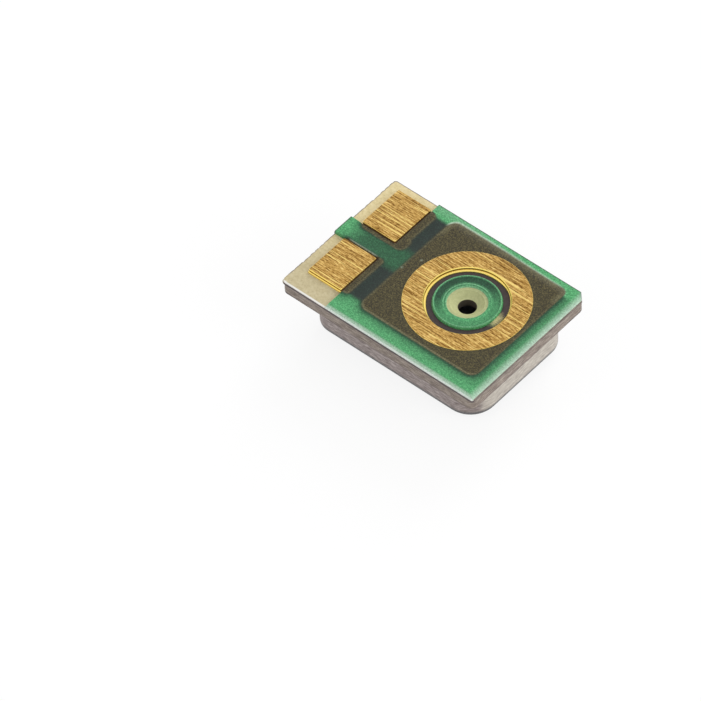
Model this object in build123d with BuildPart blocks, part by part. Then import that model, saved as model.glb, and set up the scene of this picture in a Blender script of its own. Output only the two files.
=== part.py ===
from build123d import *
import math
import os

# Bottom-port MEMS microphone, lying on the flat face of its can with the solder pads up.
# X runs along the board, from the end with two pads to the end with the ring.
# The origin is under the middle of the board, where the can rests.

# Package board: glass-fibre laminate with a thin lip left by the saw on the pad side
board_length = 3.35
board_width = 2.36
core_thickness = 0.20
lip_thickness = 0.03
side_step = 0.012
side_corner_radius = 0.10
lip_corner_cut = 0.12

# Sound port: a round hole at the bottom of a shallow dish
port_x = 0.51
port_radius = 0.13
dish_radius = 0.235
dish_depth = 0.075
dish_bulge = 0.012

# Outer copper and the gold on it. The margins at the board's near and far edges differ,
# because the board was sawn off centre
copper_thickness = 0.035
plating_thickness = 0.02
plating_chamfer = 0.006
plane_near_margin = 0.305
plane_far_margin = 0.105
plane_corner_radius = 0.13
ring_side_margin = 0.10
ring_front_margin = 0.047
ring_rear_margin = 0.19
ring_inner_radius = 0.572
ring_foot_width = 0.022
ring_foot_height = 0.02
pad_length = 0.58
pad_width = 0.75
pad_end_margin = 0.185
pad_side_inset = 0.04
land_end_margin = 0.11
land_inner_margin = {"supply": 0.055, "output": 0.02}
land_corner_radius = 0.05

# Outer solder mask
mask_thickness = 0.042
mask_over_copper = 0.015
mask_setback = 0.004
mask_far_rim_width = 0.012
mask_near_rim_width = 0.05
mask_flow = 0.04
mask_gap = 0.008

# Ring of solder mask inside the gold ring
island_outer_radius = 0.476
island_inner_radius = 0.268
island_height = 0.044
island_shoulder = 0.03
island_floor = 0.022
island_bead_width = 0.07
island_bead_bevel = 0.02
island_inner_slope = 0.03

# Drawn can, with a margin to each edge of the board
can_height = 0.725
can_rear_margin = 0.27
can_front_margin = 0.21
can_near_margin = 0.275
can_far_margin = 0.15
can_wall = 0.10
can_front_corner_radius = 0.41
can_rear_corner_radius = 0.28
can_far_corner_radius = 0.31
can_edge_radius = 0.14
mark_radius = 0.225
mark_line = 0.09
mark_depth = 0.008
mark_from_end = 0.50
mark_off_axis = 0.27

# Copper frame that the can stands on, and the solder round the can's foot
can_land_thickness = 0.02
land_setback = 0.05
land_overlap = 0.04
land_outer_corner = 0.08
seam_setback = 0.02
seam_thickness = 0.025
seam_height = 0.11
seam_width = 0.07

# Inner solder mask and bond pads
inner_mask_thickness = 0.015
inner_mask_gap = 0.02
die_window_margin = 0.045
die_window_corner = 0.05
bond_pad_length = 0.10
bond_pad_width = 0.18
bond_pad_thickness = 0.02
bond_pad_inset = 0.06
bond_pad_pitch = 0.42
bond_pad_gap = 0.015

# Plated and filled vias
via_radius = 0.045
ground_via_pitch = 1.20

# MEMS die, with the etched cavity over the port
mems_size = 1.15
mems_thickness = 0.38
mems_attach_thickness = 0.02
mems_attach_margin = 0.02
membrane_margin = 0.135
membrane_seat = 0.08
diaphragm_thickness = 0.008
spacer_width = 0.04
spacer_thickness = 0.012
backplate_thickness = 0.012
backplate_hole_width = 0.056
backplate_hole_pitch = 0.092
backplate_rings = 3

# Amplifier die
asic_length = 0.66
asic_width = 1.00
asic_thickness = 0.25
asic_attach_thickness = 0.015
asic_gap = 0.10

# Pads on the dies, and the wires between them
die_pad_size = 0.08
die_pad_thickness = 0.01
die_pad_inset = 0.08
mems_pad_pitch = 0.30
wire_radius = 0.0125
wire_bend_radius = 0.06
wire_bend_steps = 2
wire_rise = 0.04
ball_radius = 0.028
ball_height = 0.018

# Levels, from the resting face up
core_bottom = can_height + can_land_thickness
core_top = core_bottom + core_thickness
gold_height = copper_thickness + plating_thickness
film_height = copper_thickness + mask_over_copper

# Places worked out from the sizes
plane_width = board_width - plane_near_margin - plane_far_margin
pattern_y = (plane_near_margin - plane_far_margin) / 2
ring_outer_radius = plane_width / 2 - ring_side_margin
plane_left = port_x - ring_outer_radius - ring_rear_margin
plane_right = port_x + ring_outer_radius + ring_front_margin
plane_x = (plane_left + plane_right) / 2
pad_x = -board_length / 2 + pad_end_margin + pad_length / 2
pad_pitch = plane_width - 2 * pad_side_inset - pad_width
port_plane = Plane(origin=(port_x, pattern_y, core_top), x_dir=(1, 0, 0), z_dir=(0, -1, 0))
port_axis = Axis((port_x, pattern_y, 0), (0, 0, 1))
can_length = board_length - can_rear_margin - can_front_margin
can_width = board_width - can_near_margin - can_far_margin
can_x = (can_rear_margin - can_front_margin) / 2
can_y = (can_near_margin - can_far_margin) / 2
can_left = can_x - can_length / 2
land_inner_length = can_length - 2 * (can_wall + land_overlap)
land_inner_width = can_width - 2 * (can_wall + land_overlap)
land_inner_corner = can_front_corner_radius - can_wall
land_inner_left = can_x - land_inner_length / 2
bond_pad_x = land_inner_left + bond_pad_inset + bond_pad_length / 2
asic_left = bond_pad_x + bond_pad_length / 2 + asic_gap
asic_x = asic_left + asic_length / 2
ground_via_y = (can_y + land_inner_width / 2 + pattern_y + plane_width / 2) / 2
membrane_radius = mems_size / 2 - membrane_margin
cavity_radius = membrane_radius - membrane_seat
mems_face = core_bottom - mems_attach_thickness - mems_thickness
asic_back = core_bottom - inner_mask_thickness - asic_attach_thickness
asic_face = asic_back - asic_thickness
pad_sides = {"supply": 1, "output": -1}

os.makedirs("parts", exist_ok=True)


def pad_y(side):
    """Middle of a solder pad: side is 1 for the supply pad and -1 for the output pad."""
    return pattern_y + side * pad_pitch / 2


def lip_outline(far_setback, near_setback):
    """The board's outline on the pad side, with one corner cut. It is drawn in by one distance
    from the far edge and the rear end, and by another from the near edge and the front end."""
    shift = (near_setback - far_setback) / 2
    with Locations((-shift, shift)):
        outline = Rectangle(
            board_length - far_setback - near_setback, board_width - far_setback - near_setback
        )
    far_right = outline.vertices().group_by(Axis.X)[-1].sort_by(Axis.Y)[-1]
    chamfer(far_right, length=lip_corner_cut)


def plane_outline(grow):
    """The ground plane's rounded square, plus a set growth."""
    with Locations((plane_x, pattern_y)):
        RectangleRounded(
            plane_right - plane_left + 2 * grow,
            plane_width + 2 * grow,
            plane_corner_radius + grow,
        )


def land_outline(name, side, grow):
    """The copper under a solder pad, plus a set growth: it runs on under the film at two sides."""
    left = pad_x - pad_length / 2 + plating_thickness
    right = pad_x + pad_length / 2 + land_end_margin
    outer = pad_y(side) + side * (pad_width / 2 - plating_thickness)
    inner = pad_y(side) - side * (pad_width / 2 + land_inner_margin[name])
    with Locations(((left + right) / 2, (outer + inner) / 2)):
        RectangleRounded(
            right - left + 2 * grow, abs(outer - inner) + 2 * grow, land_corner_radius + grow
        )


# Package board: laminate with the port, the dish and the via holes
vias = {
    "supply_via": [(bond_pad_x, pattern_y + bond_pad_pitch)],
    "output_via": [(bond_pad_x, pattern_y - bond_pad_pitch)],
    "ground_vias": [
        (plane_x - ground_via_pitch / 2, ground_via_y),
        (plane_x + ground_via_pitch / 2, ground_via_y),
    ],
}

with BuildPart() as board_core:
    with BuildSketch(Plane.XY.offset(core_bottom)):
        RectangleRounded(
            board_length - 2 * side_step, board_width - 2 * side_step, side_corner_radius
        )
    extrude(amount=core_thickness - lip_thickness)
    with BuildSketch(Plane.XY.offset(core_top - lip_thickness)):
        lip_outline(0, 0)
    extrude(amount=lip_thickness)
    with BuildSketch(port_plane):
        with BuildLine():
            Line((0, 0), (dish_radius, 0))
            SagittaArc((dish_radius, 0), (port_radius, -dish_depth), dish_bulge)
            Line((port_radius, -dish_depth), (port_radius, -core_thickness))
            Line((port_radius, -core_thickness), (0, -core_thickness))
            Line((0, -core_thickness), (0, 0))
        make_face()
    revolve(axis=port_axis, mode=Mode.SUBTRACT)
    with BuildSketch(Plane.XY.offset(core_bottom)):
        for places in vias.values():
            with Locations(*places):
                Circle(via_radius)
    extrude(amount=core_thickness, mode=Mode.SUBTRACT)
board_core.part.label = "board_core"
export_step(board_core.part, "parts/board_core.step")

for name, places in vias.items():
    with BuildPart() as via:
        with BuildSketch(Plane.XY.offset(core_bottom)):
            with Locations(*places):
                Circle(via_radius)
        extrude(amount=core_thickness)
    via.part.label = name
    export_step(via.part, f"parts/{name}.step")

# Ground plane: a rounded square of copper, open round the port
with BuildPart() as ground_plane:
    with BuildSketch(Plane.XY.offset(core_top)):
        plane_outline(0)
        with Locations((port_x, pattern_y)):
            Circle(ring_inner_radius + plating_thickness, mode=Mode.SUBTRACT)
    extrude(amount=copper_thickness)
ground_plane.part.label = "ground_plane"
export_step(ground_plane.part, "parts/ground_plane.step")

# Ground ring: gold over the bare copper, which turns down over the plane's inner wall and
# spreads in a thin foot on the laminate
with BuildPart() as ground_ring:
    with BuildSketch(Plane.XY.offset(core_top)):
        with Locations((port_x, pattern_y)):
            Circle(ring_outer_radius)
            Circle(ring_inner_radius, mode=Mode.SUBTRACT)
    extrude(amount=gold_height)
    chamfer(ground_ring.faces().sort_by(Axis.Z)[-1].edges(), length=plating_chamfer)
    with BuildSketch(Plane.XY.offset(core_top)):
        with Locations((port_x, pattern_y)):
            Circle(ring_inner_radius + plating_thickness)
            Circle(ring_inner_radius - ring_foot_width, mode=Mode.SUBTRACT)
    extrude(amount=ring_foot_height)
    add(ground_plane.part, mode=Mode.SUBTRACT)
ground_ring.part.label = "ground_ring"
export_step(ground_ring.part, "parts/ground_ring.step")

# The two solder pads: a copper land each, and gold over it and down its bare walls
outer_copper = [ground_plane.part]
for name, side in pad_sides.items():
    with BuildPart() as land:
        with BuildSketch(Plane.XY.offset(core_top)):
            land_outline(name, side, 0)
        extrude(amount=copper_thickness)
    land.part.label = f"{name}_land"
    export_step(land.part, f"parts/{name}_land.step")
    outer_copper.append(land.part)

    with BuildPart() as pad:
        with BuildSketch(Plane.XY.offset(core_top)):
            with Locations((pad_x, pad_y(side))):
                Rectangle(pad_length, pad_width)
        extrude(amount=gold_height)
        chamfer(pad.faces().sort_by(Axis.Z)[-1].edges(), length=plating_chamfer)
        add(land.part, mode=Mode.SUBTRACT)
    pad.part.label = f"{name}_pad"
    export_step(pad.part, f"parts/{name}_pad.step")

# Outer solder mask: a film that thins towards the board's near and front rims, climbs over the
# copper and is open at the gold, with a bare window in the corner outside each of the two pads
with BuildPart() as outer_solder_mask:
    with BuildSketch(Plane.XY.offset(core_top)):
        lip_outline(mask_setback, mask_setback)
    with BuildSketch(Plane.XY.offset(core_top + mask_thickness)):
        lip_outline(mask_setback + mask_far_rim_width, mask_setback + mask_near_rim_width)
    loft()
    with BuildSketch(Plane.XY.offset(core_top)):
        plane_outline(mask_flow)
    with BuildSketch(Plane.XY.offset(core_top + film_height)):
        plane_outline(0)
    loft()
    for name, side in pad_sides.items():
        with BuildSketch(Plane.XY.offset(core_top)):
            land_outline(name, side, mask_flow)
        with BuildSketch(Plane.XY.offset(core_top + film_height)):
            land_outline(name, side, 0)
        loft()
    for copper in outer_copper:
        add(copper, mode=Mode.SUBTRACT)
    with BuildSketch(Plane.XY.offset(core_top)):
        with Locations((port_x, pattern_y)):
            Circle(ring_outer_radius + mask_gap)
        for side in pad_sides.values():
            with Locations((pad_x, pad_y(side))):
                Rectangle(pad_length + 2 * mask_gap, pad_width + 2 * mask_gap)
            window_inner = pad_y(side) - side * (pad_width / 2 + mask_gap)
            window_outer = side * board_width / 2
            window_right = pad_x + pad_length / 2 + mask_gap
            pad_left = pad_x - pad_length / 2
            with Locations(((pad_left - board_length / 2) / 2, (window_inner + window_outer) / 2)):
                Rectangle(pad_left + board_length / 2, abs(window_outer - window_inner))
            side_inner = pad_y(side) + side * pad_width / 2
            with Locations(
                ((window_right - board_length / 2) / 2, (side_inner + window_outer) / 2)
            ):
                Rectangle(window_right + board_length / 2, abs(window_outer - side_inner))
    extrude(amount=film_height, mode=Mode.SUBTRACT)
outer_solder_mask.part.label = "outer_solder_mask"
export_step(outer_solder_mask.part, "parts/outer_solder_mask.step")

# Port mask ring: an island of film with a raised bead round it, sloping in to the bare laminate
with BuildPart() as port_mask_ring:
    with BuildSketch(port_plane):
        with BuildLine():
            bead_inner = island_outer_radius - island_bead_width
            floor_radius = island_inner_radius + island_inner_slope
            Line((island_inner_radius, 0), (island_outer_radius, 0))
            Polyline(
                (island_outer_radius, 0),
                (island_outer_radius, island_shoulder),
                (island_outer_radius - island_bead_bevel, island_height),
                (bead_inner + island_bead_bevel, island_height),
                (bead_inner, island_shoulder),
            )
            Line((bead_inner, island_shoulder), (floor_radius, island_floor))
            Line((floor_radius, island_floor), (island_inner_radius, 0))
        make_face()
    revolve(axis=port_axis)
port_mask_ring.part.label = "port_mask_ring"
export_step(port_mask_ring.part, "parts/port_mask_ring.step")


def can_outline(inset):
    """The can's outline, drawn in a set distance. Its two far corners are alike, and of the two
    near ones the front one is the rounder."""
    with Locations((can_x, can_y)):
        Rectangle(can_length - 2 * inset, can_width - 2 * inset)
    fillet(vertices().group_by(Axis.Y)[-1], radius=can_far_corner_radius - inset)
    rear_corner = vertices().group_by(Axis.Y)[0].sort_by(Axis.X)[0]
    fillet(rear_corner, radius=can_rear_corner_radius - inset)
    front_corner = vertices().group_by(Axis.Y)[0].sort_by(Axis.X)[-1]
    fillet(front_corner, radius=can_front_corner_radius - inset)


def can_form(inset):
    """The can's form, drawn in a set distance: straight walls and a rounded closed end."""
    with BuildPart() as form:
        with BuildSketch(Plane.XY.offset(inset)):
            can_outline(inset)
        extrude(amount=can_height - inset)
        fillet(form.faces().sort_by(Axis.Z)[0].edges(), radius=can_edge_radius - inset)
    return form.part


# Can: drawn from thin sheet, open to the board, with a ring marked on its flat face
with BuildPart() as can:
    add(can_form(0))
    add(can_form(can_wall), mode=Mode.SUBTRACT)
    with BuildSketch():
        with Locations((can_left + mark_from_end, can_y - mark_off_axis)):
            Circle(mark_radius)
            Circle(mark_radius - mark_line, mode=Mode.SUBTRACT)
    extrude(amount=mark_depth, mode=Mode.SUBTRACT)
can.part.label = "can"
export_step(can.part, "parts/can.step")

# Can land: a frame of copper on the inner side of the board
with BuildPart() as can_land:
    with BuildSketch(Plane.XY.offset(core_bottom)):
        RectangleRounded(
            board_length - 2 * land_setback, board_width - 2 * land_setback, land_outer_corner
        )
        with Locations((can_x, can_y)):
            RectangleRounded(
                land_inner_length, land_inner_width, land_inner_corner, mode=Mode.SUBTRACT
            )
    extrude(amount=-can_land_thickness)
can_land.part.label = "can_land"
export_step(can_land.part, "parts/can_land.step")

# Solder seam: spread over the land and drawn up round the can's foot
with BuildPart() as solder_seam:
    with BuildSketch(Plane.XY.offset(can_height)):
        RectangleRounded(
            board_length - 2 * (land_setback + seam_setback),
            board_width - 2 * (land_setback + seam_setback),
            land_outer_corner - seam_setback,
        )
    extrude(amount=-seam_thickness)
    with BuildSketch(Plane.XY.offset(can_height - seam_height)):
        can_outline(0)
    extrude(amount=seam_height, taper=-math.degrees(math.atan(seam_width / seam_height)))
    add(can_form(0), mode=Mode.SUBTRACT)
solder_seam.part.label = "solder_seam"
export_step(solder_seam.part, "parts/solder_seam.step")

# Bond pads on the inner side; the ground one runs out to the can land
for name, side in {"supply": 1, "ground": 0, "output": -1}.items():
    with BuildPart() as bond_pad:
        with BuildSketch(Plane.XY.offset(core_bottom)):
            with Locations((bond_pad_x, pattern_y + side * bond_pad_pitch)):
                Rectangle(bond_pad_length, bond_pad_width)
            if name == "ground":
                with Locations(((land_inner_left + bond_pad_x) / 2, pattern_y)):
                    Rectangle(bond_pad_x - land_inner_left, bond_pad_width / 2)
        extrude(amount=-bond_pad_thickness)
    bond_pad.part.label = f"{name}_bond_pad"
    export_step(bond_pad.part, f"parts/{name}_bond_pad.step")

# Inner solder mask: between the dies and round the bond pads
with BuildPart() as inner_solder_mask:
    with BuildSketch(Plane.XY.offset(core_bottom)):
        with Locations((can_x, can_y)):
            RectangleRounded(
                land_inner_length - 2 * inner_mask_gap,
                land_inner_width - 2 * inner_mask_gap,
                land_inner_corner - inner_mask_gap,
            )
        with Locations((port_x, pattern_y)):
            die_window = mems_size + 2 * die_window_margin
            RectangleRounded(die_window, die_window, die_window_corner, mode=Mode.SUBTRACT)
        bond_window_x = (land_inner_left + bond_pad_x + bond_pad_length / 2 + bond_pad_gap) / 2
        bond_window_length = bond_pad_x + bond_pad_length / 2 + bond_pad_gap - land_inner_left
        with Locations(*[(bond_window_x, pattern_y + k * bond_pad_pitch) for k in (-1, 0, 1)]):
            Rectangle(
                bond_window_length, bond_pad_width + 2 * bond_pad_gap, mode=Mode.SUBTRACT
            )
    extrude(amount=-inner_mask_thickness)
inner_solder_mask.part.label = "inner_solder_mask"
export_step(inner_solder_mask.part, "parts/inner_solder_mask.step")

# MEMS die: a silicon frame glued over the port, with its round cavity open to it
with BuildPart() as mems_die_attach:
    with BuildSketch(Plane.XY.offset(core_bottom)):
        with Locations((port_x, pattern_y)):
            Rectangle(mems_size + 2 * mems_attach_margin, mems_size + 2 * mems_attach_margin)
            Circle(cavity_radius + mems_attach_margin, mode=Mode.SUBTRACT)
    extrude(amount=-mems_attach_thickness)
mems_die_attach.part.label = "mems_die_attach"
export_step(mems_die_attach.part, "parts/mems_die_attach.step")

with BuildPart() as mems_die:
    with BuildSketch(Plane.XY.offset(mems_face)):
        with Locations((port_x, pattern_y)):
            Rectangle(mems_size, mems_size)
            Circle(cavity_radius, mode=Mode.SUBTRACT)
    extrude(amount=mems_thickness)
mems_die.part.label = "mems_die"
export_step(mems_die.part, "parts/mems_die.step")

# Diaphragm, spacer and backplate, pierced by rings of six-sided holes: the sensing capacitor
with BuildPart() as diaphragm:
    with BuildSketch(Plane.XY.offset(mems_face)):
        with Locations((port_x, pattern_y)):
            Circle(membrane_radius)
    extrude(amount=-diaphragm_thickness)
diaphragm.part.label = "diaphragm"
export_step(diaphragm.part, "parts/diaphragm.step")

spacer_top = mems_face - diaphragm_thickness
with BuildPart() as diaphragm_spacer:
    with BuildSketch(Plane.XY.offset(spacer_top)):
        with Locations((port_x, pattern_y)):
            Circle(membrane_radius)
            Circle(membrane_radius - spacer_width, mode=Mode.SUBTRACT)
    extrude(amount=-spacer_thickness)
diaphragm_spacer.part.label = "diaphragm_spacer"
export_step(diaphragm_spacer.part, "parts/diaphragm_spacer.step")

backplate_top = spacer_top - spacer_thickness
hole_radius = backplate_hole_width / math.sqrt(3)
with BuildPart() as backplate:
    with BuildSketch(Plane.XY.offset(backplate_top)):
        with Locations((port_x, pattern_y)):
            Circle(membrane_radius)
            RegularPolygon(hole_radius, 6, mode=Mode.SUBTRACT)
            for ring in range(1, backplate_rings + 1):
                with PolarLocations(ring * backplate_hole_pitch, 6 * ring):
                    RegularPolygon(hole_radius, 6, mode=Mode.SUBTRACT)
    extrude(amount=-backplate_thickness)
backplate.part.label = "backplate"
export_step(backplate.part, "parts/backplate.step")

# Amplifier die on its attach film
with BuildPart() as asic_attach:
    with BuildSketch(Plane.XY.offset(asic_back)):
        with Locations((asic_x, pattern_y)):
            Rectangle(asic_length, asic_width)
    extrude(amount=asic_attach_thickness)
asic_attach.part.label = "asic_attach"
export_step(asic_attach.part, "parts/asic_attach.step")

with BuildPart() as asic_die:
    with BuildSketch(Plane.XY.offset(asic_face)):
        with Locations((asic_x, pattern_y)):
            Rectangle(asic_length, asic_width)
    extrude(amount=asic_thickness)
asic_die.part.label = "asic_die"
export_step(asic_die.part, "parts/asic_die.step")

# Bond pads on the two dies
mems_pad_x = port_x - mems_size / 2 + die_pad_inset
asic_front_x = asic_x + asic_length / 2 - die_pad_inset
asic_back_x = asic_x - asic_length / 2 + die_pad_inset
mems_rows = [pattern_y + k * mems_pad_pitch / 2 for k in (-1, 1)]
board_rows = [pattern_y + k * bond_pad_pitch for k in (-1, 0, 1)]

with BuildPart() as mems_bond_pads:
    with BuildSketch(Plane.XY.offset(mems_face)):
        with Locations(*[(mems_pad_x, y) for y in mems_rows]):
            Rectangle(die_pad_size, die_pad_size)
    extrude(amount=-die_pad_thickness)
mems_bond_pads.part.label = "mems_bond_pads"
export_step(mems_bond_pads.part, "parts/mems_bond_pads.step")

with BuildPart() as asic_bond_pads:
    with BuildSketch(Plane.XY.offset(asic_face)):
        with Locations(*[(asic_front_x, y) for y in mems_rows]):
            Rectangle(die_pad_size, die_pad_size)
        with Locations(*[(asic_back_x, y) for y in board_rows]):
            Rectangle(die_pad_size, die_pad_size)
    extrude(amount=-die_pad_thickness)
asic_bond_pads.part.label = "asic_bond_pads"
export_step(asic_bond_pads.part, "parts/asic_bond_pads.step")

# Bond wires: each rises from a ball on its first pad, bends over and slopes to its second pad
mems_pad_face = mems_face - die_pad_thickness
asic_pad_face = asic_face - die_pad_thickness
board_pad_face = core_bottom - bond_pad_thickness
mems_wire = ((mems_pad_x, mems_pad_face), (asic_front_x, asic_pad_face))
board_wire = ((asic_back_x, asic_pad_face), (bond_pad_x, board_pad_face))
wire_ends = {
    "signal_wire": (mems_wire, mems_rows[0]),
    "bias_wire": (mems_wire, mems_rows[1]),
    "output_wire": (board_wire, board_rows[0]),
    "ground_wire": (board_wire, board_rows[1]),
    "supply_wire": (board_wire, board_rows[2]),
}
for name, (((start_x, start_z), (end_x, end_z)), y) in wire_ends.items():
    # The run after the bend is the tangent from the bend's circle to the middle of the end pad
    bend_x = start_x - wire_bend_radius
    bend_z = start_z - wire_rise
    reach = math.hypot(end_x - bend_x, end_z - bend_z)
    slope = math.atan2(end_z - bend_z, bend_x - end_x) + math.asin(wire_bend_radius / reach)
    turns = [(math.pi / 2 + slope) * k / wire_bend_steps for k in range(wire_bend_steps + 1)]
    bend = [
        (bend_x + wire_bend_radius * math.cos(a), y, bend_z - wire_bend_radius * math.sin(a))
        for a in turns
    ]
    past_end = (end_x - ball_radius * math.cos(slope), y, end_z + ball_radius * math.sin(slope))
    foot = Plane(origin=(start_x, y, start_z), z_dir=(0, 0, -1))
    with BuildPart() as wire:
        with BuildLine() as route:
            Polyline((start_x, y, start_z), *bend, past_end)
        with BuildSketch(foot):
            Circle(wire_radius)
        sweep(path=route.wires()[0], transition=Transition.RIGHT)
        split(bisect_by=Plane.XY.offset(end_z), keep=Keep.BOTTOM)
        with BuildSketch(foot):
            Circle(ball_radius)
        extrude(amount=ball_height)
    wire.part.label = name
    export_step(wire.part, f"parts/{name}.step")
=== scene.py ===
import math

import bpy
import numpy as np
from mathutils import Matrix, Vector


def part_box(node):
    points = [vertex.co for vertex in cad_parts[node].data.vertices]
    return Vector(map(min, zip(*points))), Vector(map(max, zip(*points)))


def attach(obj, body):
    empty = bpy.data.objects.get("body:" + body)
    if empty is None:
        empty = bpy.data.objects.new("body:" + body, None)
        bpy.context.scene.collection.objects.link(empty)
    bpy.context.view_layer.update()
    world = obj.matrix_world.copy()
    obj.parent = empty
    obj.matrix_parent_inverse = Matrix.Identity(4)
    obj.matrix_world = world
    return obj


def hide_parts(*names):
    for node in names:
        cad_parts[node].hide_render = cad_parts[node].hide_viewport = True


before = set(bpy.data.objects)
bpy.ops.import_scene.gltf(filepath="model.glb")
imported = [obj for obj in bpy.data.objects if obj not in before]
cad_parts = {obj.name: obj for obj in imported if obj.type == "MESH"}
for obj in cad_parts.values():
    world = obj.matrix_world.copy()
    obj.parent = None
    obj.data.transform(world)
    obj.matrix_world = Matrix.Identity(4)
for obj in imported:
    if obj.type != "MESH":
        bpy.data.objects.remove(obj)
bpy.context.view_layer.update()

# Package board. A chip of pale glass-fibre laminate, sawn out of a panel, with a sound port
# drilled at the bottom of a shallow dish. The saw leaves a thin sharp lip on the pad side,
# and a streaked side wall below it.
MM = 0.001


def span(name):
    """Low and high corner of a CAD node's box, in mm."""
    return [np.array(corner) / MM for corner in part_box(name)]


def flat_box(name):
    """Middle and half size of a CAD node, seen from above."""
    low, high = span(name)
    return (low + high)[:2] / 2, (high - low)[:2] / 2


def smooth(low, high, value):
    """Smooth step: t is how far value lies from low to high, and the result is 3 t squared less
    2 t cubed."""
    t = np.clip((value - low) / (high - low), 0, 1)
    return t * t * (3 - 2 * t)


def grain(points, spacing, seed):
    """Value noise, -1 to 1: seeded random numbers stand on a lattice with that spacing in mm,
    and a point takes the mean of its cell's eight corners, weighted by smooth steps."""
    lattice = 32
    table = np.random.default_rng(seed).uniform(-1, 1, (lattice, lattice, lattice))
    cell = np.asarray(points) / spacing
    low = np.floor(cell).astype(int)
    part = smooth(0, 1, cell - low)
    total = np.zeros(cell.shape[:-1])
    for corner in np.ndindex(2, 2, 2):
        index = (low + corner) % lattice
        weight = np.prod(np.where(corner, part, 1 - part), axis=-1)
        total += weight * table[index[..., 0], index[..., 1], index[..., 2]]
    return total


def hoop(centre, half, corners, steps, cut=None):
    """Points round a rectangle with rounded corners, anticlockwise: a quarter circle at each
    corner, of its own radius, and evenly spaced points along the sides between them.
    steps gives the points to a side along X, along Y and round a corner, and cut the number
    of a corner that is cut straight."""
    signs = ((1, -1), (1, 1), (-1, 1), (-1, -1))
    along = (steps[1], steps[0], steps[1], steps[0])
    arcs = []
    for k, (sign, radius) in enumerate(zip(signs, corners)):
        turn = math.pi / 2 * (k - 1 + np.linspace(0, 1, steps[2] + 1))
        arc_middle = centre + np.array(sign) * (np.array(half) - radius)
        arc = arc_middle + radius * np.stack([np.cos(turn), np.sin(turn)], axis=-1)
        if k == cut:
            arc = np.linspace(arc[0], arc[-1], steps[2] + 1)
        arcs.append(arc)
    path = []
    for k in range(4):
        start, end = arcs[k][-1], arcs[(k + 1) % 4][0]
        share = np.arange(1, along[k])[:, None] / along[k]
        path += [arcs[k], start + share * (end - start)]
    return np.concatenate(path)


def raised(flat, z):
    """Points in the plane, lifted to height z."""
    height = np.broadcast_to(np.asarray(z, float)[..., None], flat.shape[:-1] + (1,))
    return np.concatenate([flat, height], axis=-1)


def round_port(flat, radius):
    """Points of a circle about the port, each in the direction of the same point of flat."""
    ray = flat - port
    return port + radius * ray / np.linalg.norm(ray, axis=-1, keepdims=True)


def hoops(rows, closed=False):
    """Quads between hoops of points, row by row. They face outwards where the hoops turn
    anticlockwise and climb an outer wall. closed joins the last hoop to the first."""
    index = np.arange(rows.shape[0] * rows.shape[1]).reshape(rows.shape[:2])
    if closed:
        index = np.vstack([index, index[:1]])
    after = np.roll(index, -1, axis=1)
    return np.stack([index[:-1], after[:-1], after[1:], index[1:]], axis=-1).reshape(-1, 4)


def piece(name, points, faces, material, replaces=(), crease=35):
    """A piece of the object: a mesh through points in mm, smooth but for creases past that
    angle in degrees. It rides on the body, and stands for the CAD nodes that replaces names."""
    mesh = bpy.data.meshes.new(name)
    metres = np.asarray(points).reshape(-1, 3) * MM
    mesh.from_pydata(metres.tolist(), [], [list(map(int, face)) for face in faces])
    mesh.shade_smooth()
    mesh.set_sharp_from_angle(angle=math.radians(crease))
    mesh.materials.append(material)
    made = bpy.data.objects.new(name, mesh)
    bpy.context.scene.collection.objects.link(made)
    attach(made, "root")
    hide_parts(*replaces)
    return made


def marked(made, **marks):
    """Keeps numbers for each point of a piece, which its material reads by name."""
    for name, values in marks.items():
        attribute = made.data.attributes.new(name, "FLOAT", "POINT")
        attribute.data.foreach_set("value", np.ravel(values).astype(np.float32))


def tint(red, green, blue):
    """A colour from its red, green and blue as seen, 0 to 255."""
    seen = np.array([red, green, blue]) / 255
    linear = np.where(seen > 0.04045, ((seen + 0.055) / 1.055) ** 2.4, seen / 12.92)
    return (*linear.tolist(), 1.0)


def finish(name, **sockets):
    """A new material: itself, its node tree and its shader, with the shader's sockets set."""
    material = bpy.data.materials.new(name)
    material.use_nodes = True
    shader = material.node_tree.nodes["Principled BSDF"]
    for socket, value in sockets.items():
        shader.inputs[socket.replace("_", " ")].default_value = value
    return material, material.node_tree, shader


def node(tree, kind, inputs=None, **settings):
    """Adds a shader node. inputs gives its sockets, by name or number, a value or a link."""
    made = tree.nodes.new("ShaderNode" + kind)
    for setting, value in settings.items():
        setattr(made, setting, value)
    for socket, value in (inputs or {}).items():
        if isinstance(value, bpy.types.NodeSocket):
            tree.links.new(value, made.inputs[socket])
        else:
            made.inputs[socket].default_value = value
    return made


def place(tree, stretch=(1, 1, 1)):
    """The point on the object, in mm, times a stretch along X, Y and Z."""
    point = node(tree, "TexCoord").outputs["Object"]
    return node(tree, "Mapping", {"Vector": point, "Scale": [s / MM for s in stretch]}).outputs[0]


def away(tree, centre):
    """Distance in mm from a point on the object."""
    ends = {0: place(tree), 1: tuple(centre)}
    return node(tree, "VectorMath", ends, operation="DISTANCE").outputs["Value"]


def mark(tree, name):
    """The number that marked keeps by that name."""
    return node(tree, "Attribute", attribute_name=name).outputs["Fac"]


def calc(tree, operation, first, second):
    """The sum, the product or the greater of two numbers."""
    return node(tree, "Math", {0: first, 1: second}, operation=operation).outputs[0]


def cloud(tree, stretch, detail=3, roughness=0.55):
    """Noise, 0 to 1, with about that many lumps to the mm along X, Y and Z."""
    inputs = {"Vector": place(tree, stretch), "Scale": 1, "Detail": detail, "Roughness": roughness}
    return node(tree, "TexNoise", inputs).outputs[0]


def level(tree, value, low, high, to_low=0.0, to_high=1.0):
    """A smooth step: value at low or below gives to_low, and at high or above gives to_high."""
    inputs = {0: value, 1: low, 2: high, 3: to_low, 4: to_high}
    return node(tree, "MapRange", inputs, interpolation_type="SMOOTHSTEP").outputs[0]


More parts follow.
